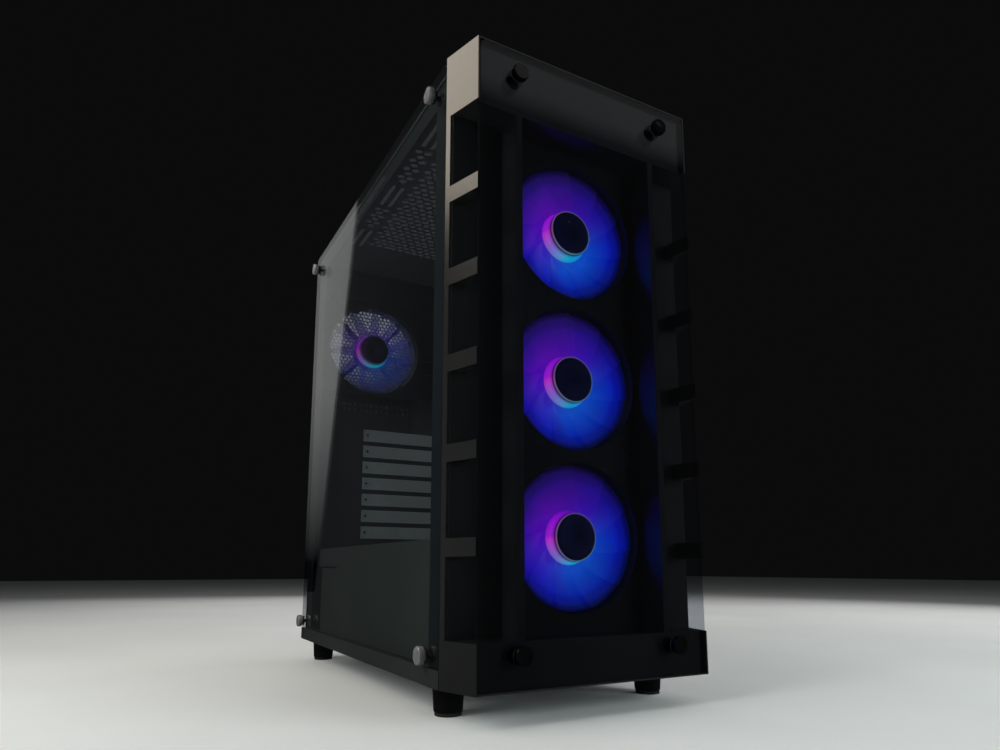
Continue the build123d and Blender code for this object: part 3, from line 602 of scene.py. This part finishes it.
# The top panel's coat is paler and bluer than the case's black steel: painted light on its underside.
paint(["top_panel"], powder_coat("top_coat_painted_light", (0.085, 0.088, 0.094), (0.105, 0.108, 0.114)))
paint(["base_pan"], powder_coat("base_coat", (0.014, 0.015, 0.015), (0.019, 0.020, 0.020)))
paint(["psu_shroud"], powder_coat("shroud_coat", (0.045, 0.047, 0.046), (0.057, 0.059, 0.057)))
paint(["slot_covers"], powder_coat("slot_cover_coat", (0.37, 0.355, 0.35), (0.43, 0.415, 0.41)))
paint(
    ["io_blanking_plate"],
    powder_coat("blank_plate_coat", (0.050, 0.052, 0.050), (0.062, 0.064, 0.060)),
)
paint(["front_glass"], tinted_glass("front_tinted_glass", (0.74, 0.76, 0.80), 0.03))
paint(["side_glass"], tinted_glass("side_tinted_glass", (0.76, 0.80, 0.79), 0.03))
paint(
    names_with("front_thumbscrew", "right_panel_screws"),
    nickel("black_nickel", (0.07, 0.07, 0.075), (0.12, 0.12, 0.125), 1.0),
)
# The side thumbscrews are the same black nickel screws as the front ones, painted paler: painted
# highlight.
paint(
    names_with("side_thumbscrew"),
    nickel("side_nickel_painted_highlight", (0.16, 0.16, 0.165), (0.25, 0.25, 0.255), 0.5),
)
paint(names_with("washers", "grommets", "glass_standoffs", "foot_pads"), rubber())
paint(["board_standoffs"], turned_metal("brass", (0.55, 0.38, 0.14), (0.75, 0.55, 0.24)))
paint(
    names_with("fan_screws", "psu_screws", "cover_screws"),
    turned_metal("black_zinc", (0.10, 0.10, 0.10), (0.2, 0.2, 0.2)),
)
paint(names_with("fan_frame"), dark_plastic("fan_frame_plastic", 0.012))
paint(
    ["psu_fan_rotor", "power_inlet", "rocker_frame", "fan_hub", "filter_rails", "audio_jacks"],
    dark_plastic("moulded_plastic", 0.014),
)
paint(names_with("drive_caddy"), dark_plastic("caddy_plastic", 0.018))
paint(["feet"], dark_plastic("foot_plastic", 0.002, (0.45, 0.6)))
paint(["rocker_switch"], dark_plastic("rocker_plastic", 0.012, (0.15, 0.25)))
paint(names_with("_button"), dark_plastic("button_plastic", 0.016, (0.12, 0.22)))
paint(["psu_housing"], powder_coat("psu_coat", (0.022,) * 3, (0.03,) * 3, (0.5, 0.65)))
paint(["psu_dust_filter"], filter_mesh("base_filter_mesh", 0.0))
paint(["top_dust_filter"], filter_mesh("top_filter_mesh", 0.9))
paint(["usb_ports"], turned_metal("port_steel", (0.45, 0.45, 0.45), (0.6, 0.6, 0.6)))
paint(
    ["io_board"],
    grained(
        "board_laminate", (0.004, 0.02, 0.008), (0.008, 0.035, 0.014), (0.2, 0.35), 900, 0.00002,
    ),
)
soften(["front_bezel"], 0.45)
soften(names_with("thumbscrew"), 0.15, 50)
soften(["feet"], 0.6)


# ---------------------------------------------------------------- studio floor and reflectors
FLOOR = 6.0                 # metres from the middle to each edge

# Softbox corners, in case coordinates.
REFLECTOR = [(-620, 2000, 1600), (900, 2000, 1600), (900, 2000, 0), (-510, 2000, 0)]
FRONT_REFLECTOR = [
    (450, -1500, 1680), (1850, -1500, 1680), (1850, -1500, 2300), (450, -1500, 2300),
]


def stage_plane(name, vertices, material):
    """A four-cornered plane that belongs to the studio, not to the tower."""
    mesh = bpy.data.meshes.new(name)
    mesh.from_pydata(vertices, [], [(0, 1, 2, 3)])
    plane = bpy.data.objects.new(name, mesh)
    mesh.materials.append(material)
    scene.collection.objects.link(plane)
    return plane


def reflector_material(name, low, high, bright):
    """A glow that is dark at height low and bright at height high, in metres."""
    s = Shader(name)
    parts = s.node("SeparateXYZ")
    s.link(s.place, parts.inputs[0])
    glow = s.node("Emission")
    s.link(s.range(parts.outputs["Z"], low, high, 0.0, bright), glow.inputs["Strength"])
    s.link(glow.outputs[0], s.output.inputs["Surface"])
    s.tree.nodes.remove(s.principled)
    return s.material


def reflector(name, corners, low, high, bright):
    """A softbox, bright above and fading out below, that only mirrors see."""
    material = reflector_material(name, low, high, bright)
    plane = stage_plane(name, [case_point(*p) for p in corners], material)
    plane.visible_camera = False
    plane.visible_diffuse = False
    plane.visible_shadow = False


floor_paint = grained(
    "studio_floor", (0.60, 0.60, 0.59), (0.66, 0.66, 0.65), (0.55, 0.7), 600, 0.0001, patch=3,
)
floor_corners = [(-FLOOR, -FLOOR, 0), (FLOOR, -FLOOR, 0), (FLOOR, FLOOR, 0), (-FLOOR, FLOOR, 0)]
floor = stage_plane("floor", floor_corners, floor_paint)
floor.visible_glossy = False
reflector("reflector", REFLECTOR, low=0.12, high=0.75, bright=0.32)
reflector("front_reflector", FRONT_REFLECTOR, low=1.70, high=1.80, bright=0.22)
